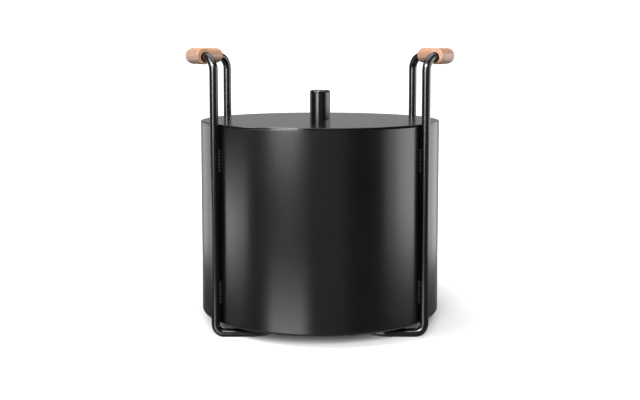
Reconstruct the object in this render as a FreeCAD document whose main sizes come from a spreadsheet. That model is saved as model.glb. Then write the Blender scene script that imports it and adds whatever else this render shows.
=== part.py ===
import FreeCAD, Part
import Sketcher
import math
import os

# Ash bucket for a wood stove, in millimetres. +Z is up, the origin is on the floor under the middle of the
# bucket, -Y is the front and the two wooden grips are on the left (-X) and on the right (+X).

SIZES = (
    ("bucket_diameter", 289, "outside of the wall"),
    ("bucket_height", 229.5, "underside to the rim"),
    ("sheet_thickness", 1.5, "wall and bottom sheet"),
    ("bottom_gap", 4.5, "feet to the underside of the bucket"),
    ("corner_radius", 4, "rounded lower edge, outside"),
    ("dish_height", 22, "underside to the seam of bottom and wall"),
    ("hem_height", 10, "inward fold of the wall at the rim"),
    ("rim_edge_radius", 0.7, "rounded edges of the rim"),
    ("seam_bead_radius", 1.5, "weld beads on the inside of the wall"),
    ("seam_bead_clearance", 0.3, "between those beads and the sheet"),
    ("rod_diameter", 10, "round rod of the side frames"),
    ("leg_angle", 36.5, "degrees from the middle of a grip to its legs, seen from above"),
    ("leg_clearance", 0.4, "between the legs and the wall, bridged by weld beads"),
    ("foot_reach", 68, "leg to floor runner, inwards"),
    ("foot_bend_radius", 10, "bend from leg to foot, on the rod's axis"),
    ("runner_bend_radius", 27, "bend from foot to runner, on the rod's axis"),
    ("top_bend_radius", 16, "bend from leg to rod end, on the rod's axis"),
    ("floor_flat_depth", 0.3, "flat dressed on the underside of the feet"),
    ("frame_weld_radius", 2.2, "weld bead in the corner of leg and wall"),
    ("frame_weld_depth", 0.9, "axis of that bead to the surfaces of leg and wall"),
    ("frame_weld_length", 23, "straight part of that bead"),
    ("lower_weld_height", 52.5, "floor to the middle of the lower beads"),
    ("upper_weld_height", 205, "floor to the middle of the upper beads"),
    ("grip_diameter", 19, "wooden grip, seen at its end"),
    ("grip_half_angle", 30, "degrees from the middle of a grip to its end, seen from above"),
    ("grip_offset", 2.7, "circle of the legs to the circle of the grips, outwards"),
    ("grip_rise", 80, "rim to the axis of the grips"),
    ("grip_edge_radius", 1.8, "rounded ends of the grips"),
    ("grip_mouth_diameter", 12, "wider mouth of the holes in the grips"),
    ("grip_mouth_depth", 5, "wider mouth of the holes in the grips"),
    ("rod_end_drop", 1.3, "axis of the grips to the axis of the rod ends, which lie lower"),
    ("grip_hole_clearance", 0.3, "between a rod end and its hole, all round"),
    ("rod_end_depth", 22, "rod end inside the grip"),
    ("grip_screw_diameter", 4, "countersunk screw from below, through the grip into the rod end"),
    ("grip_screw_length", 10, "overall length of that screw"),
    ("grip_screw_head_diameter", 7.5, "countersunk head"),
    ("grip_screw_sink", 0.2, "head below the surface of the wood"),
    ("grip_screw_inset", 13, "end of the grip to its screw"),
    ("cup_washer_width", 1.2, "countersunk washer round the head, across its ring"),
    ("cup_washer_clearance", 0.1, "between that washer and the head"),
    ("tapped_spare_depth", 0.5, "tapped holes go this much deeper than their screws"),
    ("thread_clearance", 0.05, "between a screw and its tapped hole, all round"),
    ("screw_clearance", 0.3, "between a screw and what it passes through, all round"),
    ("lid_thickness", 2.5, "lid plate"),
    ("lid_setback", 0.1, "outside of the wall to the edge of the lid, which passes the legs"),
    ("lid_edge_radius", 1, "upper edge of the lid"),
    ("lid_ring_height", 14, "locating strip under the lid"),
    ("lid_ring_thickness", 1.5, "locating strip under the lid"),
    ("lid_ring_clearance", 1, "locating strip to the hem, all round"),
    ("lid_tack_radius", 2, "tack weld in the corner of strip and lid"),
    ("knob_diameter", 25, "knob on the lid"),
    ("knob_height", 36, "knob on the lid"),
    ("knob_edge_radius", 3, "rounded top edge of the knob"),
    ("knob_screw_diameter", 6, "screw from below into the knob"),
    ("knob_screw_bite", 14, "length of that screw inside the knob"),
    ("knob_screw_head_diameter", 11, "pan head"),
    ("knob_screw_head_height", 4, "pan head"),
    ("knob_washer_diameter", 18, "washer under the lid"),
    ("knob_washer_thickness", 1.6, "washer under the lid"),
)
LID_TACKS = 6

doc = FreeCAD.newDocument("AshBucket")
sheet = doc.addObject("Spreadsheet::Sheet", "Sizes")
for row, (alias, size, meaning) in enumerate(SIZES, start=1):
    sheet.set(f"A{row}", meaning)
    sheet.set(f"B{row}", str(size))
    sheet.setAlias(f"B{row}", alias)
doc.recompute()

# Places that several pieces share, as expressions of the sizes above. The legs stand on a circle about the
# bucket's axis, against the wall. Each rod end leaves that circle along its tangent, and the grips follow a
# slightly larger circle, so that the straight rod ends stay inside the curved wood.
wall = "Sizes.bucket_diameter / 2"
wall_inside = f"({wall} - Sizes.sheet_thickness)"
hem_inside = f"({wall} - 2 * Sizes.sheet_thickness)"
rod_radius = "Sizes.rod_diameter / 2"
foot_z = f"({rod_radius} - Sizes.floor_flat_depth)"
foot_top = "(Sizes.rod_diameter - Sizes.floor_flat_depth)"
underside = f"({foot_top} + Sizes.bottom_gap)"
seam = f"({underside} + Sizes.dish_height)"
rim = f"({underside} + Sizes.bucket_height)"
hem_foot = f"({rim} - Sizes.hem_height)"
lid_radius = f"({wall} - Sizes.lid_setback)"
lid_top = f"({rim} + Sizes.lid_thickness)"
lid_ring_outside = f"({hem_inside} - Sizes.lid_ring_clearance)"
lid_ring_inside = f"({lid_ring_outside} - Sizes.lid_ring_thickness)"
washer_foot = f"({rim} - Sizes.knob_washer_thickness)"
leg_circle = f"({wall} + Sizes.leg_clearance + {rod_radius})"
leg_x = f"({leg_circle} * cos(Sizes.leg_angle))"
leg_y = f"(-{leg_circle} * sin(Sizes.leg_angle))"
grip_radius = "Sizes.grip_diameter / 2"
grip_circle = f"({leg_circle} + Sizes.grip_offset)"
grip_z = f"({rim} + Sizes.grip_rise)"
rod_end_z = f"({grip_z} - Sizes.rod_end_drop)"

X_AXIS = FreeCAD.Vector(1, 0, 0)
Y_AXIS = FreeCAD.Vector(0, 1, 0)
Z_AXIS = FreeCAD.Vector(0, 0, 1)
UPRIGHT = FreeCAD.Rotation()
ALONG_Y = FreeCAD.Rotation(Z_AXIS, Y_AXIS)


def number(expression):
    """The value of an expression of the sizes."""
    return float(sheet.evalExpression(expression))


def vector(x, y, z):
    """The point at three expressions."""
    return FreeCAD.Vector(number(x), number(y), number(z))


def put(piece, x, y, z, rotation=UPRIGHT):
    """Bind a piece's place to three expressions."""
    piece.Placement = FreeCAD.Placement(vector(x, y, z), rotation)
    for axis, expression in (("x", x), ("y", y), ("z", z)):
        piece.setExpression(f"Placement.Base.{axis}", expression)
    return piece


def outline(sketch, corners):
    """A closed outline of straight lines, each corner bound to two expressions."""
    points = [vector(across, up, "0") for across, up in corners]
    for index, point in enumerate(points):
        sketch.addGeometry(Part.LineSegment(point, points[(index + 1) % len(points)]), False)
    for index, corner in enumerate(corners):
        sketch.addConstraint(Sketcher.Constraint("Coincident", index, 2, (index + 1) % len(corners), 1))
        for kind, expression in zip(("DistanceX", "DistanceY"), corner):
            bound = Sketcher.Constraint(kind, -1, 1, index, 1, number(expression))
            place = sketch.addConstraint(bound)
            sketch.setExpression(f"Constraints[{place}]", expression)


def ring_section(sketch, distance, radius):
    """A circle on the X axis of a sketch, its distance and radius bound to expressions."""
    circle = sketch.addGeometry(Part.Circle(vector(distance, "0", "0"), Z_AXIS, number(radius)), False)
    sketch.addConstraint(Sketcher.Constraint("PointOnObject", circle, 3, -1))
    place = sketch.addConstraint(Sketcher.Constraint("DistanceX", -1, 1, circle, 3, number(distance)))
    sketch.setExpression(f"Constraints[{place}]", distance)
    size = sketch.addConstraint(Sketcher.Constraint("Radius", circle, number(radius)))
    sketch.setExpression(f"Constraints[{size}]", radius)


def new_section(label):
    """A body with an empty sketch on its XZ plane: distance from the axis, height."""
    body = doc.addObject("PartDesign::Body", label)
    sketch = body.newObject("Sketcher::SketchObject", f"{label}_section")
    plane = next(item for item in body.Origin.OriginFeatures if item.Role == "XZ_Plane")
    sketch.AttachmentSupport = [(plane, "")]
    sketch.MapMode = "FlatFace"
    return body, sketch


def revolve(body, sketch, angle="360"):
    """Turn a section about Z, to both sides alike."""
    turn = body.newObject("PartDesign::Revolution", f"{body.Name}_turn")
    turn.Profile = sketch
    turn.ReferenceAxis = (sketch, ["V_Axis"])
    turn.Midplane = True
    turn.setExpression("Angle", angle)
    doc.recompute()
    return body


def turned(label, corners):
    """A body turned about Z from the outline of its section."""
    body, sketch = new_section(label)
    outline(sketch, corners)
    return revolve(body, sketch)


def round_edges(body, edge_radius, circles):
    """Round the circular edges of a turned body that lie at a distance from its axis and a height."""
    wanted = [(number(across), number(up)) for across, up in circles]
    base = body.Tip
    names = []
    for index, edge in enumerate(base.Shape.Edges, start=1):
        if not isinstance(edge.Curve, Part.Circle):
            continue
        found = (edge.Curve.Radius, edge.Curve.Center.z)
        if any(math.dist(found, place) < 1e-4 for place in wanted):
            names.append(f"Edge{index}")
    fillet = body.newObject("PartDesign::Fillet", f"{body.Name}_edge")
    fillet.Base = (base, names)
    fillet.setExpression("Radius", edge_radius)
    body.Tip = fillet
    doc.recompute()
    return body


def cylinder(name, radius, height, x, y, z, rotation=UPRIGHT):
    """A plain cylinder that starts at a place and runs along its turned Z axis."""
    piece = doc.addObject("Part::Cylinder", name)
    piece.setExpression("Radius", radius)
    piece.setExpression("Height", height)
    return put(piece, x, y, z, rotation)


def ball(name, radius, x, y, z):
    """A sphere about a place."""
    piece = doc.addObject("Part::Sphere", name)
    piece.setExpression("Radius", radius)
    return put(piece, x, y, z)


def fused(name, pieces):
    """Several pieces as one."""
    union = doc.addObject("Part::MultiFuse", name)
    union.Shapes = pieces
    return union


def grouped(name, pieces):
    """Several separate pieces under one name."""
    group = doc.addObject("Part::Compound", name)
    group.Links = pieces
    return group


def boolean(kind, name, base, tool):
    """A Part::Cut or a Part::Common of two objects."""
    piece = doc.addObject(kind, name)
    piece.Base = base
    piece.Tool = tool
    return piece


def bent_wire(corners):
    """Straight runs joined by tangent arcs, through (point, bend radius) corners."""
    edges = []
    start = corners[0][0]
    for (before, _), (corner, bend), (after, _) in zip(corners, corners[1:], corners[2:]):
        arriving = (corner - before).normalize()
        leaving = (after - corner).normalize()
        turn = arriving.getAngle(leaving)
        reach = bend * math.tan(turn / 2)
        first = corner - arriving * reach
        last = corner + leaving * reach
        inwards = (leaving - arriving).normalize()
        middle = corner + inwards * (bend / math.cos(turn / 2) - bend)
        edges.append(Part.LineSegment(start, first).toShape())
        edges.append(Part.Arc(first, middle, last).toShape())
        start = last
    edges.append(Part.LineSegment(start, corners[-1][0]).toShape())
    return Part.Wire(edges)


def rod(name, corners, radius):
    """A round rod along a bent wire."""
    path = doc.addObject("Part::Feature", f"{name}_path")
    path.Shape = bent_wire(corners)
    section = doc.addObject("Part::Circle", f"{name}_section")
    section.setExpression("Radius", radius)
    start = corners[0][0]
    section.Placement = FreeCAD.Placement(start, FreeCAD.Rotation(Z_AXIS, corners[1][0] - start))
    sweep = doc.addObject("Part::Sweep", name)
    sweep.Sections = [section]
    sweep.Spine = (path, [f"Edge{index}" for index in range(1, len(path.Shape.Edges) + 1)])
    sweep.Solid = True
    sweep.Frenet = False
    return sweep


def mirrored(label, source, normal=X_AXIS):
    """The mirror image of a piece: the left one of a right one, or the rear one of a front one."""
    piece = doc.addObject("Part::Mirroring", label)
    piece.Source = source
    piece.Normal = normal
    return piece


# Bucket: a rolled wall with a hem at the rim, on a pressed dish with a rounded edge.
bucket_wall = turned("bucket_wall", (
    (wall_inside, seam), (wall, seam), (wall, rim),
    (hem_inside, rim), (hem_inside, hem_foot), (wall_inside, hem_foot)))
round_edges(bucket_wall, "Sizes.rim_edge_radius", ((wall, rim), (hem_inside, rim)))

inner_floor = f"({underside} + Sizes.sheet_thickness)"
bucket_bottom = turned("bucket_bottom", (
    ("0", underside), (wall, underside), (wall, seam),
    (wall_inside, seam), (wall_inside, inner_floor), ("0", inner_floor)))
round_edges(bucket_bottom, "Sizes.corner_radius", ((wall, underside),))
round_edges(bucket_bottom, "Sizes.corner_radius - Sizes.sheet_thickness", ((wall_inside, inner_floor),))

# The seams' weld beads show only inside: the upright one is the part of a round bead inside the wall, the
# round one a low bead with sloping sides.
bead_outside = f"({wall_inside} - Sizes.seam_bead_clearance)"
inside_space = cylinder("inside_space", bead_outside, "Sizes.bucket_height", "0", "0", underside)
wall_bead_foot = f"({seam} + 2 * Sizes.seam_bead_radius)"
wall_bead = cylinder(
    "wall_bead", "Sizes.seam_bead_radius", f"{hem_foot} - {wall_bead_foot} - Sizes.seam_bead_radius",
    "0", wall_inside, wall_bead_foot)
wall_seam_weld = boolean("Part::Common", "wall_seam_weld", wall_bead, inside_space)
bead_inside = f"({wall_inside} - Sizes.seam_bead_radius)"
bead_crest = "Sizes.seam_bead_radius / 2"
bottom_seam_weld = turned("bottom_seam_weld", (
    (bead_outside, f"{seam} - Sizes.seam_bead_radius"), (bead_outside, f"{seam} + Sizes.seam_bead_radius"),
    (bead_inside, f"{seam} + {bead_crest}"), (bead_inside, f"{seam} - {bead_crest}")))


def rod_end_place(depth):
    """A place on the axis of the right front rod end, this deep inside the grip, as X and Y."""
    along = f"({leg_circle} * tan(Sizes.leg_angle - Sizes.grip_half_angle) + {depth})"
    return (f"({leg_x} + {along} * sin(Sizes.leg_angle))",
            f"({leg_y} + {along} * cos(Sizes.leg_angle))")


# Right rod frame: one rod from the front rod end, down the front leg, inwards along the floor, back along
# the runner and up again to the rear rod end. Its feet are dressed flat, its ends are tapped from below.
end_x, end_y = rod_end_place("Sizes.rod_end_depth")
screw_x, screw_y = rod_end_place("Sizes.grip_screw_inset")
runner_x = f"({leg_x} - Sizes.foot_reach)"
top_bend = number("Sizes.top_bend_radius")
foot_bend = number("Sizes.foot_bend_radius")
runner_bend = number("Sizes.runner_bend_radius")
front_half = [
    (vector(end_x, end_y, rod_end_z), 0),
    (vector(leg_x, leg_y, rod_end_z), top_bend),
    (vector(leg_x, leg_y, foot_z), foot_bend),
    (vector(runner_x, leg_y, foot_z), runner_bend),
]
rear_half = [(FreeCAD.Vector(point.x, -point.y, point.z), bend) for point, bend in reversed(front_half)]
right_rod = rod("right_rod", front_half + rear_half, rod_radius)
below_floor = doc.addObject("Part::Box", "below_floor")
below_floor.setExpression("Length", "Sizes.bucket_diameter")
below_floor.setExpression("Width", "Sizes.bucket_diameter")
below_floor.setExpression("Height", "Sizes.rod_diameter")
put(below_floor, "0", f"-{wall}", "-Sizes.rod_diameter")
screw_foot = f"({grip_z} - {grip_radius} + Sizes.grip_screw_sink)"
tapped_hole = cylinder(
    "tapped_hole_front", "Sizes.grip_screw_diameter / 2 + Sizes.thread_clearance",
    "Sizes.grip_screw_length + Sizes.tapped_spare_depth", screw_x, screw_y, screw_foot)
right_rod_frame = boolean("Part::Cut", "right_rod_frame", right_rod, fused("rod_cuts", [
    below_floor, tapped_hole, mirrored("tapped_hole_rear", tapped_hole, Y_AXIS)]))

# Weld beads: a lower and an upper one on each leg, in the corner of leg and wall that faces the front or the
# rear, each the part of a round-ended bead that lies outside both.
weld_circle = f"({wall} + Sizes.frame_weld_depth)"
weld_aside = (f"sqrt(({rod_radius} + Sizes.frame_weld_depth) ^ 2"
              f" - ({leg_circle} - {weld_circle}) ^ 2)")
weld_x = f"({weld_circle} * cos(Sizes.leg_angle) - {weld_aside} * sin(Sizes.leg_angle))"
weld_y = f"(-{weld_circle} * sin(Sizes.leg_angle) - {weld_aside} * cos(Sizes.leg_angle))"


def upright_bead(name, middle_height):
    """A round-ended bead beside the right front leg, about a height."""
    foot = f"({middle_height} - Sizes.frame_weld_length / 2)"
    return fused(name, [
        cylinder(f"{name}_run", "Sizes.frame_weld_radius", "Sizes.frame_weld_length", weld_x, weld_y, foot),
        ball(f"{name}_foot", "Sizes.frame_weld_radius", weld_x, weld_y, foot),
        ball(f"{name}_top", "Sizes.frame_weld_radius", weld_x, weld_y, f"{foot} + Sizes.frame_weld_length")])


bead_cuts = fused("bead_cuts", [
    cylinder("wall_space", wall, "Sizes.bucket_height", "0", "0", underside),
    cylinder("leg_space", rod_radius, "Sizes.bucket_height", leg_x, leg_y, underside)])
front_beads = boolean("Part::Cut", "front_beads", grouped("whole_beads", [
    upright_bead("lower_bead", "Sizes.lower_weld_height"),
    upright_bead("upper_bead", "Sizes.upper_weld_height")]), bead_cuts)
right_frame_welds = grouped("right_frame_welds", [front_beads, mirrored("rear_beads", front_beads, Y_AXIS)])

# Right grip: an arc of round wood with a straight, wide-mouthed hole for a rod end in each end, and a
# countersunk screw in a cup washer from below into each rod end.
right_wood, wood_sketch = new_section("right_wood")
ring_section(wood_sketch, grip_circle, grip_radius)
revolve(right_wood, wood_sketch, "2 * Sizes.grip_half_angle")
round_edges(right_wood, "Sizes.grip_edge_radius", ((grip_radius, "0"),))
put(right_wood, "0", "0", grip_z)
ahead_x, ahead_y = rod_end_place(f"-{grip_radius}")
along_rod_end = FreeCAD.Rotation(Z_AXIS, -number("Sizes.leg_angle")) * ALONG_Y
rod_hole = fused("rod_hole_front", [
    cylinder("rod_bore", f"{rod_radius} + Sizes.grip_hole_clearance",
             f"{grip_radius} + Sizes.rod_end_depth + Sizes.grip_hole_clearance",
             ahead_x, ahead_y, rod_end_z, along_rod_end),
    cylinder("rod_bore_mouth", "Sizes.grip_mouth_diameter / 2",
             f"{grip_radius} + Sizes.grip_mouth_depth", ahead_x, ahead_y, rod_end_z, along_rod_end)])
shank = "Sizes.grip_screw_diameter / 2"
head = "Sizes.grip_screw_head_diameter / 2"
head_height = f"({head} - {shank})"
washer_inner = "Sizes.cup_washer_clearance"
washer_outer = f"({washer_inner} + Sizes.cup_washer_width)"
seat = f"({washer_outer} + Sizes.screw_clearance)"
screw_hole = put(turned("screw_hole_front", (
    ("0", f"-{grip_radius}"), (f"{head} + {seat}", f"-{grip_radius}"), (f"{head} + {seat}", "0"),
    (f"{shank} + {seat}", head_height), (f"{shank} + Sizes.screw_clearance", head_height),
    (f"{shank} + Sizes.screw_clearance", grip_radius), ("0", grip_radius))), screw_x, screw_y, screw_foot)
right_grip = boolean("Part::Cut", "right_grip", right_wood, fused("grip_cuts", [
    rod_hole, mirrored("rod_hole_rear", rod_hole, Y_AXIS),
    screw_hole, mirrored("screw_hole_rear", screw_hole, Y_AXIS)]))
front_screw = put(turned("grip_screw_front", (
    ("0", "0"), (head, "0"), (shank, head_height),
    (shank, "Sizes.grip_screw_length"), ("0", "Sizes.grip_screw_length"))), screw_x, screw_y, screw_foot)
front_washer = put(turned("cup_washer_front", (
    (f"{head} + {washer_inner}", "0"), (f"{head} + {washer_outer}", "0"),
    (f"{shank} + {washer_outer}", head_height), (f"{shank} + {washer_inner}", head_height))),
    screw_x, screw_y, screw_foot)
right_grip_washers = grouped(
    "right_grip_washers", [front_washer, mirrored("cup_washer_rear", front_washer, Y_AXIS)])
right_grip_screws = grouped(
    "right_grip_screws", [front_screw, mirrored("grip_screw_rear", front_screw, Y_AXIS)])

# Lid: a flat plate that lies on the rim, with a locating strip tacked under it and a knob screwed on.
knob_hole = "(Sizes.knob_screw_diameter / 2 + Sizes.screw_clearance)"
lid_plate = turned("lid_plate", (
    (knob_hole, rim), (lid_radius, rim), (lid_radius, lid_top), (knob_hole, lid_top)))
round_edges(lid_plate, "Sizes.lid_edge_radius", ((lid_radius, lid_top),))
lid_ring_foot = f"({rim} - Sizes.lid_ring_height)"
lid_ring = turned("lid_ring", (
    (lid_ring_inside, lid_ring_foot), (lid_ring_outside, lid_ring_foot),
    (lid_ring_outside, rim), (lid_ring_inside, rim)))
tacks = []
for tack in range(LID_TACKS):
    turn = f"({tack} * 360 / {LID_TACKS})"
    tacks.append(ball(
        f"tack_{tack}", "Sizes.lid_tack_radius",
        f"{lid_ring_inside} * cos{turn}", f"{lid_ring_inside} * sin{turn}", rim))
inside_ring = cylinder(
    "inside_ring", lid_ring_inside, "Sizes.lid_ring_height", "0", "0", lid_ring_foot)
lid_ring_welds = boolean(
    "Part::Common", "lid_ring_welds", grouped("lid_tacks", tacks), inside_ring)

tapped_radius = "(Sizes.knob_screw_diameter / 2 + Sizes.thread_clearance)"
tapped_top = f"({lid_top} + Sizes.knob_screw_bite + Sizes.tapped_spare_depth)"
knob_top = f"({lid_top} + Sizes.knob_height)"
knob_radius = "Sizes.knob_diameter / 2"
lid_knob = turned("lid_knob", (
    (tapped_radius, lid_top), (knob_radius, lid_top), (knob_radius, knob_top),
    ("0", knob_top), ("0", tapped_top), (tapped_radius, tapped_top)))
round_edges(lid_knob, "Sizes.knob_edge_radius", ((knob_radius, knob_top),))
knob_washer = turned("knob_washer", (
    (knob_hole, washer_foot), ("Sizes.knob_washer_diameter / 2", washer_foot),
    ("Sizes.knob_washer_diameter / 2", rim), (knob_hole, rim)))
head_bottom = f"({washer_foot} - Sizes.knob_screw_head_height)"
screw_top = f"({lid_top} + Sizes.knob_screw_bite)"
knob_screw = turned("knob_screw", (
    ("0", head_bottom), ("Sizes.knob_screw_head_diameter / 2", head_bottom),
    ("Sizes.knob_screw_head_diameter / 2", washer_foot),
    ("Sizes.knob_screw_diameter / 2", washer_foot),
    ("Sizes.knob_screw_diameter / 2", screw_top), ("0", screw_top)))

nodes = [
    bucket_wall, bucket_bottom, wall_seam_weld, bottom_seam_weld,
    right_rod_frame, right_frame_welds, right_grip, right_grip_washers, right_grip_screws,
    mirrored("left_rod_frame", right_rod_frame),
    mirrored("left_frame_welds", right_frame_welds),
    mirrored("left_grip", right_grip),
    mirrored("left_grip_washers", right_grip_washers),
    mirrored("left_grip_screws", right_grip_screws),
    lid_plate, lid_ring, lid_ring_welds, lid_knob, knob_washer, knob_screw,
]
doc.recompute()

for item in doc.Objects:
    if "Invalid" in item.State or "Error" in item.State:
        raise RuntimeError(f"{item.Label} failed: {item.State}")
for node in nodes:
    if node.Shape.isNull() or not node.Shape.isValid() or not node.Shape.Solids:
        raise RuntimeError(f"{node.Label} has no valid solid")

os.makedirs("parts", exist_ok=True)
for node in nodes:
    node.Shape.exportStep(f"parts/{node.Label}.step")
    box = node.Shape.optimalBoundingBox()
    print(f"{node.Label}: {len(node.Shape.Solids)} solids, {node.Shape.Volume:.0f} mm3, "
          f"z {box.ZMin:.1f} to {box.ZMax:.1f}")
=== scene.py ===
# %% [markdown]
# # An ash bucket with wooden grips
# The bucket is black coated steel. A flat lid lies on its rim, and two bent rods carry it: each stands on
# the floor, runs up beside the wall and ends in a curved wooden grip. The parts were drawn as solids, so this
# lesson loads them as they are, dresses them, and models the small things that solids leave plain.

# %% Load the bucket
import math

import bmesh
import bpy
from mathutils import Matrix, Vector


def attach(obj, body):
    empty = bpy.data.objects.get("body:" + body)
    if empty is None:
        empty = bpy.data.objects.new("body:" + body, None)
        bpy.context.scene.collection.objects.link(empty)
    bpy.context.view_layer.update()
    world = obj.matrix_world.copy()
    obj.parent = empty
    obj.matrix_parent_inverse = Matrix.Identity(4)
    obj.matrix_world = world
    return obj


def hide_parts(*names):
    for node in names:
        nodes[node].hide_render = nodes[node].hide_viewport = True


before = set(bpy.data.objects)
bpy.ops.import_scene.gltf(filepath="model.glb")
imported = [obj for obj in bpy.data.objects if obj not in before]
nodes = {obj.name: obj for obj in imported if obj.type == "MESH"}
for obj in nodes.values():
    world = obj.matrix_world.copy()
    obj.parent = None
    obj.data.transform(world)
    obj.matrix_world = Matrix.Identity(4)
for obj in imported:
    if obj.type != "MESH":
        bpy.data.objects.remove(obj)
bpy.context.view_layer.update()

# %% [markdown]
# A shader is a small graph. Two helpers keep the graphs readable: one adds a node with its settings, and one
# starts a material whose principled shader is ready to be fed. All patterns read Object coordinates, which
# here are metres from the middle of the floor under the bucket.

# %% Helpers for shader graphs
def add_node(tree, kind, inputs=None, **settings):
    made = tree.nodes.new(kind)
    for name, value in settings.items():
        setattr(made, name, value)
    for name, value in (inputs or {}).items():
        if isinstance(value, bpy.types.NodeSocket):
            tree.links.new(value, made.inputs[name])
        else:
            made.inputs[name].default_value = value
    return made


def start_finish(name, **sockets):
    finish = bpy.data.materials.new(name)
    finish.use_nodes = True
    tree = finish.node_tree
    shader = tree.nodes["Principled BSDF"]
    for socket, value in sockets.items():
        shader.inputs[socket.replace("_", " ")].default_value = value
    place = tree.nodes.new("ShaderNodeTexCoord").outputs["Object"]
    return finish, tree, shader, place


print("graph helpers ready")

# %% [markdown]
# Nearly every finish needs the same few steps: noise, colours along it, its values moved to another range, a
# sum, and a bump. Writing the nodes out each time would bury the recipe, so each step is a function.

# %% Helpers for patterns
def noise(tree, place, scale, detail):
    made = add_node(tree, "ShaderNodeTexNoise", {"Vector": place, "Scale": scale, "Detail": detail})
    return made.outputs["Fac"]


def ramp(tree, source, stops):
    made = add_node(tree, "ShaderNodeValToRGB", {"Fac": source})
    made.color_ramp.elements[0].position, made.color_ramp.elements[0].color = stops[0]
    made.color_ramp.elements[1].position, made.color_ramp.elements[1].color = stops[-1]
    for position, colour in stops[1:-1]:
        made.color_ramp.elements.new(position).color = colour
    return made.outputs["Color"]


def scaled(tree, source, low, high):
    made = add_node(tree, "ShaderNodeMapRange", {"Value": source, "To Min": low, "To Max": high})
    return made.outputs["Result"]


def reckon(tree, operation, *values):
    made = add_node(tree, "ShaderNodeMath", dict(enumerate(values)), operation=operation)
    return made.outputs[0]


def bump_up(tree, shader, height, strength, depth):
    made = add_node(tree, "ShaderNodeBump", {"Height": height, "Strength": strength, "Distance": depth})
    for link in shader.inputs["Normal"].links:
        tree.links.new(link.from_socket, made.inputs["Normal"])
    tree.links.new(made.outputs["Normal"], shader.inputs["Normal"])


print("pattern helpers ready")

# %% [markdown]
# The steel wears a satin black coat. Up close such a coat is never one flat black: it has a faint orange
# peel, and a little more gloss in some places than in others, where hands and cloths have rubbed it. An image
# would do, but noise is sharper at any distance and needs no file. One function makes the coat, and each group
# of parts asks for its own gloss.

# %% Satin black coat
DEEP_BLACK = (0.0018, 0.0018, 0.0019)
PALE_BLACK = tuple(2.2 * value for value in DEEP_BLACK)
CLOUD_GLOSS, RUBBED_GLOSS = 0.03, 0.02
PEEL_DEPTH = 0.0004


def satin_coat(name, gloss, peel):
    finish, tree, shader, place = start_finish(name, IOR=1.5)
    cloud = noise(tree, place, scale=9.0, detail=3.0)
    rubbed = noise(tree, place, scale=70.0, detail=4.0)
    orange_peel = noise(tree, place, scale=420.0, detail=2.0)
    tint = ramp(tree, cloud, [(0.35, (*DEEP_BLACK, 1)), (0.7, (*PALE_BLACK, 1))])
    tree.links.new(tint, shader.inputs["Base Color"])
    roughness = reckon(
        tree, "ADD", scaled(tree, rubbed, -RUBBED_GLOSS, RUBBED_GLOSS),
        scaled(tree, cloud, gloss - CLOUD_GLOSS, gloss + CLOUD_GLOSS))
    tree.links.new(roughness, shader.inputs["Roughness"])
    bump_up(tree, shader, orange_peel, strength=peel, depth=PEEL_DEPTH)
    return finish


wall_coat = satin_coat("wall_coat", gloss=0.25, peel=0.02)
lid_coat = satin_coat("lid_coat", gloss=0.17, peel=0.02)
rod_coat = satin_coat("rod_coat", gloss=0.20, peel=0.006)
knob_coat = satin_coat("knob_coat", gloss=0.20, peel=0.02)
print("coats:", wall_coat.name, lid_coat.name, rod_coat.name, knob_coat.name)

# %% [markdown]
# The welds wear the same coat, but a bead is laid down drop by drop, and its ripples show through. The seams
# inside the bucket are seen only when the lid is up, so a wave pattern in their bump gives the ripples. The
# beads on the legs are in plain sight and get real drops further on: their coat only mirrors less.

# %% Coat over the welds
WAVE_PERIOD = 0.314
RIPPLE_SPACING, RIPPLE_DEPTH = 0.003, 0.0006
BEAD_REFLECTION = 0.22


def rippled_coat(name):
    finish = satin_coat(name, gloss=0.33, peel=0.1)
    tree = finish.node_tree
    place = next(item for item in tree.nodes if item.type == "TEX_COORD").outputs["Object"]
    drops = add_node(
        tree, "ShaderNodeTexWave",
        {"Vector": place, "Scale": WAVE_PERIOD / RIPPLE_SPACING, "Distortion": 1.5},
        wave_type="BANDS", bands_direction="Z", wave_profile="SAW")
    shader = tree.nodes["Principled BSDF"]
    bump_up(tree, shader, drops.outputs["Fac"], strength=0.6, depth=RIPPLE_DEPTH)
    return finish


seam_coat = rippled_coat("upright_bead")
bead_coat = satin_coat("bead_coat", gloss=0.18, peel=0.1)
bead_shader = bead_coat.node_tree.nodes["Principled BSDF"]
bead_shader.inputs["Specular IOR Level"].default_value = BEAD_REFLECTION
print("weld finishes:", seam_coat.name, bead_coat.name)

# %% [markdown]
# The grips are pale beech, oiled. For a straight stick, noise stretched along one axis would do, but here the
# grain follows the curve of the grip. So the pattern is laid out along the arc: the angle about the bucket's
# axis gives the length, and the distance from that axis and the height give the other two directions. The
# side of the bucket is added to the length, so the two grips aren't twins.

# %% Lay the grain along the arc
GRIP_ARC_RADIUS = 0.1526
GRAIN_CONTRAST = 0.6


def grip_directions(tree, place):
    axes = add_node(tree, "ShaderNodeSeparateXYZ", {"Vector": place}).outputs
    side = reckon(tree, "SIGN", axes["X"])
    turn = reckon(tree, "ARCTAN2", axes["Y"], reckon(tree, "ABSOLUTE", axes["X"]))
    along = reckon(tree, "MULTIPLY_ADD", turn, GRIP_ARC_RADIUS, side)
    flat = add_node(tree, "ShaderNodeCombineXYZ", {"X": axes["X"], "Y": axes["Y"]}).outputs[0]
    reach = add_node(tree, "ShaderNodeVectorMath", {0: flat}, operation="LENGTH").outputs["Value"]
    return add_node(tree, "ShaderNodeCombineXYZ", {"X": along, "Y": reach, "Z": axes["Z"]}).outputs[0]


def grain(tree, board, stretch, scale, detail):
    laid = add_node(tree, "ShaderNodeMapping", {"Vector": board, "Scale": stretch}).outputs[0]
    made = add_node(
        tree, "ShaderNodeTexNoise",
        {"Vector": laid, "Scale": scale, "Detail": detail, "Roughness": GRAIN_CONTRAST})
    return made.outputs["Fac"]


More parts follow.
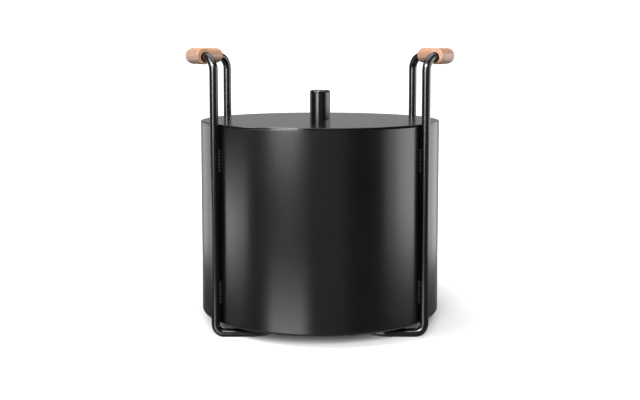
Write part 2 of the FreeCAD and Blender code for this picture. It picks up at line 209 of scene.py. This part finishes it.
print("grain on an arc of", GRIP_ARC_RADIUS, "m")

# %% [markdown]
# Four layers make the wood: broad growth rings, fine fibres, the short dark flecks that tell beech from other
# pale woods, and a slow warm cloud. Each darkens the one below it, so they are multiplied. The fibres also
# rule the gloss and a slight bump, and a thin clear coat stands for the oil.

# %% Oiled beech
WHITE = (1, 1, 1, 1)
RING_COLOURS = (
    (0.30, (0.51, 0.269, 0.157, 1)), (0.52, (0.60, 0.332, 0.204, 1)), (0.72, (0.54, 0.282, 0.163, 1)))
FIBRE_SHADE = ((0.30, (0.80, 0.78, 0.75, 1)), (0.62, WHITE))
FLECK_SHADE = ((0.64, WHITE), (0.72, (0.62, 0.50, 0.42, 1)))
WARM_SHADE = ((0.35, (1.0, 0.93, 0.88, 1)), (0.70, WHITE))
ROUGH_FIBRE, SMOOTH_FIBRE = 0.58, 0.42
FIBRE_DEPTH = 0.0003


def oiled_beech(name):
    finish, tree, shader, place = start_finish(name, Coat_Weight=0.30, Coat_Roughness=0.35)
    board = grip_directions(tree, place)
    fibre = grain(tree, board, stretch=(0.03, 1.0, 1.0), scale=900.0, detail=4.0)
    ring = grain(tree, board, stretch=(0.04, 1.0, 0.6), scale=160.0, detail=2.0)
    fleck = grain(tree, board, stretch=(0.16, 1.0, 1.0), scale=1100.0, detail=1.0)
    cloud = grain(tree, board, stretch=(0.5, 1.0, 1.0), scale=45.0, detail=2.0)
    colour = ramp(tree, ring, RING_COLOURS)
    for layer, stops in ((fibre, FIBRE_SHADE), (fleck, FLECK_SHADE), (cloud, WARM_SHADE)):
        mixed = add_node(tree, "ShaderNodeMix", {"Factor": 1.0}, data_type="RGBA", blend_type="MULTIPLY")
        tree.links.new(colour, mixed.inputs["A"])
        tree.links.new(ramp(tree, layer, stops), mixed.inputs["B"])
        colour = mixed.outputs["Result"]
    tree.links.new(colour, shader.inputs["Base Color"])
    tree.links.new(scaled(tree, fibre, ROUGH_FIBRE, SMOOTH_FIBRE), shader.inputs["Roughness"])
    bump_up(tree, shader, fibre, strength=0.12, depth=FIBRE_DEPTH)
    return finish


beech = oiled_beech("beech")
print("wood:", beech.name)

# %% [markdown]
# Screws and washers are zinc plated. A plain grey metal would pass at arm's length, but real plating has a
# faint yellowish and bluish cloud in it and fine turning marks, so two sizes of noise give both.

# %% Zinc plate
ZINC_COLOURS = (
    (0.35, (0.60, 0.62, 0.65, 1)), (0.55, (0.66, 0.66, 0.64, 1)), (0.75, (0.70, 0.67, 0.58, 1)))
SMOOTH_MARK, ROUGH_MARK = 0.28, 0.48
MARK_DEPTH = 0.0001


def zinc_plate(name):
    finish, tree, shader, place = start_finish(name, Metallic=1.0)
    cloud = noise(tree, place, scale=260.0, detail=3.0)
    marks = noise(tree, place, scale=2600.0, detail=2.0)
    tree.links.new(ramp(tree, cloud, ZINC_COLOURS), shader.inputs["Base Color"])
    tree.links.new(scaled(tree, marks, SMOOTH_MARK, ROUGH_MARK), shader.inputs["Roughness"])
    bump_up(tree, shader, marks, strength=0.1, depth=MARK_DEPTH)
    return finish


zinc = zinc_plate("zinc")
print("plating:", zinc.name)

# %% [markdown]
# Every solid whose shape is right now gets its finish. It could be swapped for a new mesh, but there is
# nothing to gain: only its material slot changes. The welds on the legs and the screws aren't in this list,
# because new pieces stand for them further on.

# %% Dress the solids
finishes = {
    "bucket_wall": wall_coat, "bucket_bottom": wall_coat,
    "wall_seam_weld": seam_coat, "bottom_seam_weld": seam_coat,
    "left_rod_frame": rod_coat, "right_rod_frame": rod_coat,
    "left_grip": beech, "right_grip": beech,
    "left_grip_washers": zinc, "right_grip_washers": zinc,
    "lid_plate": lid_coat, "lid_ring": wall_coat, "lid_ring_welds": seam_coat, "lid_knob": knob_coat,
    "knob_washer": zinc,
}
for name, finish in finishes.items():
    slots = nodes[name].material_slots
    for slot in slots:
        slot.material = finish
    if not slots:
        nodes[name].data.materials.append(finish)
print("dressed:", len(finishes), "of", len(nodes))

# %% [markdown]
# Beads, screws and the floor are all round. A lathe-like modifier could turn them, but an operator leaves a
# plain mesh: one helper spins an outline of loose edges about the upright axis and closes the seam and the
# poles. Others copy a finished shape to its places, and make it an object that moves with a body of the bucket
# and stands for a solid.

# %% Helpers for turned pieces
SAME_POINT = 1e-5
CREASE_ANGLE = math.radians(40)


def spin_outline(shape, steps):
    bmesh.ops.spin(
        shape, geom=shape.verts[:] + shape.edges[:], cent=(0, 0, 0), axis=(0, 0, 1), dvec=(0, 0, 0),
        angle=2 * math.pi, steps=steps, use_merge=True)
    bmesh.ops.remove_doubles(shape, verts=shape.verts, dist=SAME_POINT)


def only_points(geometry):
    return [item for item in geometry if isinstance(item, bmesh.types.BMVert)]


def copy_to(shape, places):
    first = shape.verts[:] + shape.edges[:] + shape.faces[:]
    for place in places[1:]:
        copied = bmesh.ops.duplicate(shape, geom=first)["geom"]
        bmesh.ops.translate(shape, vec=Vector(place) - Vector(places[0]), verts=only_points(copied))
    bmesh.ops.translate(shape, vec=places[0], verts=shape.verts[:])


def smooth_mesh(shape, name):
    bmesh.ops.recalc_face_normals(shape, faces=shape.faces)
    mesh = bpy.data.meshes.new(name)
    shape.to_mesh(mesh)
    shape.free()
    for face in mesh.polygons:
        face.use_smooth = True
    return mesh


def keep_piece(shape, name, finish, body, stands_for):
    mesh = smooth_mesh(shape, name)
    mesh.set_sharp_from_angle(angle=CREASE_ANGLE)
    mesh.materials.append(finish)
    piece = bpy.data.objects.new(name, mesh)
    bpy.context.scene.collection.objects.link(piece)
    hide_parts(stands_for)
    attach(piece, body)
    print(piece.name, len(mesh.polygons), "faces, stands for", stands_for)


SIDES = ((-1, "left"), (1, "right"))
ENDS = (-1, 1)
print("helpers for turned pieces ready")

# %% [markdown]
# Each leg is held to the wall by two short welds in the corner beside it. A weld grows drop by drop, so its
# side is wavy, and each drop catches the light as a speck. A bump could draw the waves, but it would leave the
# outline straight. So a straight edge is cut into short pieces, its points are drawn in between the drops, and
# a spin about the bead's middle turns that row of bows into a stack of drops. The solid behind it is a smooth
# rod of the same size, which this piece stands for.

# %% Weld beads on the legs
BEAD_RADIUS, BEAD_LENGTH = 0.0022, 0.0274
BEAD_OUT, BEAD_ASIDE, BEAD_HEIGHTS = 0.11461, 0.08956, (0.0525, 0.205)
DROP_LENGTH, DROP_DEPTH = 0.0039, 0.0009
POINTS_PER_DROP = 8
BEAD_STEPS = 16


def stack_of_drops():
    shape = bmesh.new()
    foot, head = (shape.verts.new((BEAD_RADIUS, 0, end * BEAD_LENGTH / 2)) for end in ENDS)
    drops = round(BEAD_LENGTH / DROP_LENGTH)
    bmesh.ops.subdivide_edges(
        shape, edges=[shape.edges.new((foot, head))], cuts=POINTS_PER_DROP * drops - 1)
    points = sorted(shape.verts, key=lambda point: point.co.z)
    for step, point in enumerate(points):
        swell = abs(math.sin(math.pi * step / POINTS_PER_DROP))
        point.co.x -= DROP_DEPTH * (1 - swell)
    for point in (points[0], points[-1]):
        point.co.x = 0
    spin_outline(shape, BEAD_STEPS)
    return shape


for side, word in SIDES:
    beads = stack_of_drops()
    copy_to(beads, [(side * BEAD_OUT, end * BEAD_ASIDE, height) for end in ENDS for height in BEAD_HEIGHTS])
    keep_piece(beads, word + "_weld_beads", bead_coat, "bucket", word + "_frame_welds")

# %% [markdown]
# Two screws from below hold each grip on its rod ends, and one from inside the lid holds the knob. The solids
# are plain, but a real head has a hexagonal socket for the key. A boolean could cut it, but bridging leaves
# cleaner faces: the screw's half outline is spun about its axis, which leaves the head open, a hexagon is laid
# into that opening, the two rims are bridged, and the hexagon is extruded into the head and closed.

# %% Socket screws
SCREW_STEPS = 24
GRIP_SCREW = ((0.00365, 0), (0.00375, 0.0001), (0.0020, 0.00175), (0.0020, 0.0100), (0, 0.0100))
GRIP_SCREW_OUT, GRIP_SCREW_ASIDE, GRIP_SCREW_HEIGHT = 0.13839, 0.06499, 0.3144
KNOB_SCREW = (
    (0.0050, 0), (0.0055, 0.0005), (0.0055, 0.0040), (0.0030, 0.0040), (0.0030, 0.0221), (0, 0.0221))
KNOB_SCREW_HEIGHT = 0.2381


def socket_screw(outline, socket_radius, socket_depth):
    shape = bmesh.new()
    points = [shape.verts.new((radius, 0, height)) for radius, height in outline]
    for first, second in zip(points, points[1:]):
        shape.edges.new((first, second))
    spin_outline(shape, SCREW_STEPS)
    rim = [edge for edge in shape.edges if edge.is_boundary]
    bmesh.ops.create_circle(shape, cap_ends=False, segments=6, radius=socket_radius)
    hexagon = [edge for edge in shape.edges if edge.is_wire]
    bmesh.ops.bridge_loops(shape, edges=rim + hexagon)
    sunk = bmesh.ops.extrude_edge_only(shape, edges=hexagon)["geom"]
    bmesh.ops.translate(shape, vec=(0, 0, socket_depth), verts=only_points(sunk))
    bmesh.ops.edgeloop_fill(shape, edges=[edge for edge in shape.edges if edge.is_boundary])
    return shape


for side, word in SIDES:
    screws = socket_screw(GRIP_SCREW, socket_radius=0.00144, socket_depth=0.0012)
    copy_to(screws, [(side * GRIP_SCREW_OUT, end * GRIP_SCREW_ASIDE, GRIP_SCREW_HEIGHT) for end in ENDS])
    keep_piece(screws, word + "_socket_screws", zinc, "bucket", word + "_grip_screws")
screw = socket_screw(KNOB_SCREW, socket_radius=0.0023, socket_depth=0.0022)
copy_to(screw, [(0, 0, KNOB_SCREW_HEIGHT)])
keep_piece(screw, "knob_socket_screw", zinc, "lid", "knob_screw")

# %% [markdown]
# The bucket stands on a pale floor that sweeps up into a pale wall all round, so no horizon cuts the picture
# from any side. A plane with a second plane behind it would do for one view only. An L of two edges, spun
# about the middle, makes the floor and the wall, and a bevel rounds the corner between them.

# %% Floor and backdrop
SWEEP_RADIUS, SWEEP_HEIGHT, SWEEP_BEND = 4.0, 3.2, 1.2
SWEEP_STEPS, BEND_SEGMENTS = 64, 12


def pale_sweep():
    shape = bmesh.new()
    outline = ((0, 0, 0), (SWEEP_RADIUS, 0, 0), (SWEEP_RADIUS, 0, SWEEP_HEIGHT))
    middle, corner, top = (shape.verts.new(place) for place in outline)
    shape.edges.new((middle, corner))
    shape.edges.new((corner, top))
    spin_outline(shape, SWEEP_STEPS)
    foot = [edge for edge in shape.edges if all(
        point.co.z < SWEEP_HEIGHT / 2 and point.co.length > SWEEP_RADIUS / 2 for point in edge.verts)]
    bmesh.ops.bevel(
        shape, geom=foot, offset=SWEEP_BEND, segments=BEND_SEGMENTS, profile=0.5, affect="EDGES", material=-1)
    return smooth_mesh(shape, "pale_sweep")


sweep = bpy.data.objects.new("pale_sweep", pale_sweep())
bpy.context.scene.collection.objects.link(sweep)
print("floor:", len(sweep.data.polygons), "faces")

# %% [markdown]
# The floor is white paper. Its emission is painted light: the paper glows more the further it is from the
# bucket, so it stays white there while soft shadows stay near the feet. The coat would mirror so much white,
# but the real coat mirrors a dim room. So the paper is hidden from glossy, diffuse and shadow rays, and a lamp
# may stand below it.

# %% Paper
PAPER_TINTS = ((0.3, (0.92, 0.92, 0.92, 1)), (0.7, (0.94, 0.94, 0.94, 1)))
GLOW_STARTS, GLOW_FULL = 0.16, 0.45


def glowing_paper(name):
    finish, tree, shader, place = start_finish(
        name, Roughness=0.9, Specular_IOR_Level=0.1, Emission_Color=WHITE)
    mottle = noise(tree, place, scale=1.5, detail=2.0)
    tree.links.new(ramp(tree, mottle, PAPER_TINTS), shader.inputs["Base Color"])
    # painted light: the emission rises with the distance from the bucket and fades the far part of its shadows
    away = add_node(tree, "ShaderNodeVectorMath", {0: place}, operation="LENGTH").outputs["Value"]
    glow = add_node(
        tree, "ShaderNodeMapRange", {"Value": away, "From Min": GLOW_STARTS, "From Max": GLOW_FULL})
    tree.links.new(glow.outputs["Result"], shader.inputs["Emission Strength"])
    return finish


sweep.data.materials.append(glowing_paper("paper"))
sweep.visible_glossy = False
sweep.visible_diffuse = False
sweep.visible_shadow = False
print("paper:", sweep.data.materials[0].name)

# %% [markdown]
# A glossy black cylinder shows little but what it mirrors, so its lamps are the drawing. Two kinds of lamp
# keep that drawing apart from the light on wood and floor. A mirror card is seen in reflections only: it
# stands at a bearing from the front, and its power follows from the glow that its reflection needs. A fill
# box is the opposite, and lights surfaces without being mirrored. Light linking says which parts a lamp
# reaches.

# %% Helpers for lamps
def soft_box(name, place, aim, width, height, glow):
    lamp = bpy.data.lights.new(name, "AREA")
    lamp.shape, lamp.size, lamp.size_y = "RECTANGLE", width, height
    lamp.energy = glow * math.pi * width * height
    holder = bpy.data.objects.new(name, lamp)
    holder.location = place
    holder.rotation_euler = (Vector(aim) - Vector(place)).to_track_quat("-Z", "Y").to_euler()
    holder.visible_camera = False
    bpy.context.scene.collection.objects.link(holder)
    return holder


def fill_box(name, place, aim, width, height, glow):
    box = soft_box(name, place, aim, width, height, glow)
    box.visible_glossy = False
    return box


def mirror_card(name, bearing, distance, low, high, width, glow):
    turn = math.radians(bearing)
    middle = (low + high) / 2
    place = (math.sin(turn) * distance, -math.cos(turn) * distance, middle)
    card = soft_box(name, place, (0, 0, middle), width, high - low, glow)
    card.visible_diffuse = False
    return card


def link_lamp(lamp, receivers, state):
    reach = bpy.data.collections.new(lamp.name + "_reach")
    for receiver in receivers:
        reach.objects.link(receiver)
    for linked in reach.collection_objects:
        linked.light_linking.link_state = state
    lamp.light_linking.receiver_collection = reach


print("lamp helpers ready")

# %% [markdown]
# These cards draw the wall. One at the left and one at the right make the side bands, a narrow one feathers
# the right band, and two more behind them light the outer edges. At the front left a high card glows into the
# top of the wall and a low card into its foot, and a faint one in front lifts the middle. A dim card at the
# back gives the lid its even grey. Seen from other sides, the lid would mirror the bright cards as white, so
# those at the right and the high one leave it out.

# %% Cards for the wall
FRONT_LEFT = {"bearing": -31, "distance": 1.6, "width": 0.75}
lid_parts = [nodes["lid_plate"], nodes["lid_knob"]]

plain_cards = [
    mirror_card("left_card", bearing=-91, distance=1.5, low=-0.19, high=-0.01, width=1.20, glow=4.2),
    mirror_card("left_edge_card", bearing=-131, distance=1.5, low=-0.20, high=0.60, width=0.9, glow=1.35),
    mirror_card("right_edge_card", bearing=131, distance=1.5, low=-0.21, high=0.60, width=0.9, glow=1.75),
    mirror_card("back_card", bearing=180, distance=1.6, low=-0.40, high=1.30, width=1.9, glow=0.285),
    mirror_card("low_card", bearing=-29, distance=1.0, low=-0.60, high=-0.17, width=0.62, glow=5.0),
    mirror_card("front_card", bearing=12, distance=1.7, low=-0.60, high=1.20, width=0.8, glow=0.25),
]
right_cards = [
    mirror_card("right_card", bearing=94, distance=1.5, low=-0.17, high=0.90, width=1.05, glow=3.9),
    mirror_card("right_feather_card", bearing=68, distance=1.5, low=-0.17, high=0.90, width=0.36, glow=1.8),
]
for card in right_cards:
    link_lamp(card, [nodes["lid_plate"]], "EXCLUDE")
front_left_card = mirror_card("front_left_card", low=0.26, high=1.15, glow=20.0, **FRONT_LEFT)
link_lamp(front_left_card, lid_parts, "EXCLUDE")
print("cards for the wall:", len(plain_cards + right_cards) + 1)

# %% [markdown]
# Rods, knob and lid have highlights of their own: a streak down each rod and the knob, white sparks on the
# upper bends, glints on the feet and a thin line along the lid's front edge. Cards for all parts would spoil
# the bands on the wall, so each of these is linked to its own parts. A wide, weak card below lifts the
# undersides.

# %% Cards for the rods, the knob and the lid
rods = [nodes["left_rod_frame"], nodes["right_rod_frame"]]
rod_cards = [
    mirror_card("rod_card", low=0.08, high=0.26, glow=5.5, **FRONT_LEFT),
    mirror_card("rod_dim_card", low=-0.17, high=0.08, glow=1.6, **FRONT_LEFT),
    mirror_card("spark_card", low=1.15, high=1.75, glow=60.0, **FRONT_LEFT),
    mirror_card("foot_card", bearing=0, distance=1.5, low=1.10, high=1.60, width=0.7, glow=16.0),
]
for card in rod_cards:
    link_lamp(card, rods, "INCLUDE")
lid_cards = [
    mirror_card("knob_card", low=-0.05, high=0.50, glow=9.0, **FRONT_LEFT),
    mirror_card("lid_edge_card", bearing=-31, distance=0.9, low=1.50, high=2.10, width=0.5, glow=80.0),
]
for card in lid_cards:
    link_lamp(card, lid_parts, "INCLUDE")
under_card = soft_box("under_card", (0, 0, -0.8), (0, 0, 0), width=3.6, height=3.6, glow=0.25)
under_card.visible_diffuse = False
print("cards for rods, knob and lid:", len(rod_cards + lid_cards), "and one below")

# %% [markdown]
# The boxes light the wood and the floor. The key box at the left reaches both and casts the soft shadow to
# the right. The others reach either the bucket or the floor, so that the wood can be lit from the front and
# from above without washing out the narrow shadow under the bucket.

# %% Boxes for the wood and the floor
KEY_AIM, TOP_AIM, GRIP_AIM, FLOOR_AIM = (0, 0, 0.1), (0, 0.2, 0), (0, 0, 0.3), (0, -0.1, 0)
TOP_PLACE = (0, 0.3, 1.9)
key_box = soft_box("key_box", (-1.5, -0.75, 1.6), KEY_AIM, width=0.8, height=0.8, glow=14.0)
bucket_boxes = [
    soft_box("top_box", TOP_PLACE, TOP_AIM, width=2.2, height=2.2, glow=2.8),
    fill_box("front_box", (0, -2.1, 0.9), GRIP_AIM, width=3.0, height=0.8, glow=5.6),
    fill_box("right_box", (2.1, 0.4, 0.9), GRIP_AIM, width=2.0, height=0.8, glow=0.9),
    fill_box("rear_box", (0, 2.1, 0.9), GRIP_AIM, width=2.0, height=0.8, glow=4.0),
]
floor_boxes = [
    fill_box("floor_front_box", (0.05, -2.1, 0.95), FLOOR_AIM, width=1.4, height=1.0, glow=22.0),
    fill_box("floor_top_box", TOP_PLACE, TOP_AIM, width=2.2, height=2.2, glow=0.9),
]
for box in bucket_boxes:
    link_lamp(box, [sweep], "EXCLUDE")
for box in floor_boxes:
    link_lamp(box, [sweep], "INCLUDE")
print("boxes:", len(bucket_boxes + floor_boxes), "and", key_box.name)

# %% [markdown]
# A dim white world stands for the rest of the room. The Standard view transform leaves white paper white,
# where a filmic one would grey it.

# %% Dim room
ROOM_GLOW = 0.10
world = bpy.data.worlds.new("dim_room")
bpy.context.scene.world = world
world.use_nodes = True
room = world.node_tree.nodes["Background"]
room.inputs["Color"].default_value = WHITE
room.inputs["Strength"].default_value = ROOM_GLOW
bpy.context.scene.view_settings.view_transform = "Standard"
print("room glow:", ROOM_GLOW)

# %% [markdown]
# The photograph was taken level with the grips, from about 1.3 metres. The focal length and the height come
# from the ellipse of the lid and the distances between the rods. The camera looks a little downwards, and its
# lens is shifted for the rest, as a product photographer does to keep the walls nearly upright.

# %% Camera
PICTURE_WIDTH, PICTURE_HEIGHT = 640, 400
FOCAL_PIXELS, CENTRE_ROW = 1067.0, 150.0
CAMERA_PLACE, CAMERA_TILT = (0, -1.30005, 0.33286), 0.09522
camera_data = bpy.data.cameras.new("camera")
camera_data.sensor_width = 36.0
camera_data.lens = FOCAL_PIXELS * camera_data.sensor_width / PICTURE_WIDTH
camera_data.shift_y = (CENTRE_ROW - PICTURE_HEIGHT / 2) / PICTURE_WIDTH
camera = bpy.data.objects.new("camera", camera_data)
camera.location = CAMERA_PLACE
camera.rotation_euler = (math.pi / 2 - CAMERA_TILT, 0, 0)
bpy.context.scene.collection.objects.link(camera)
bpy.context.scene.camera = camera
print("lens:", round(camera_data.lens, 1), "mm")
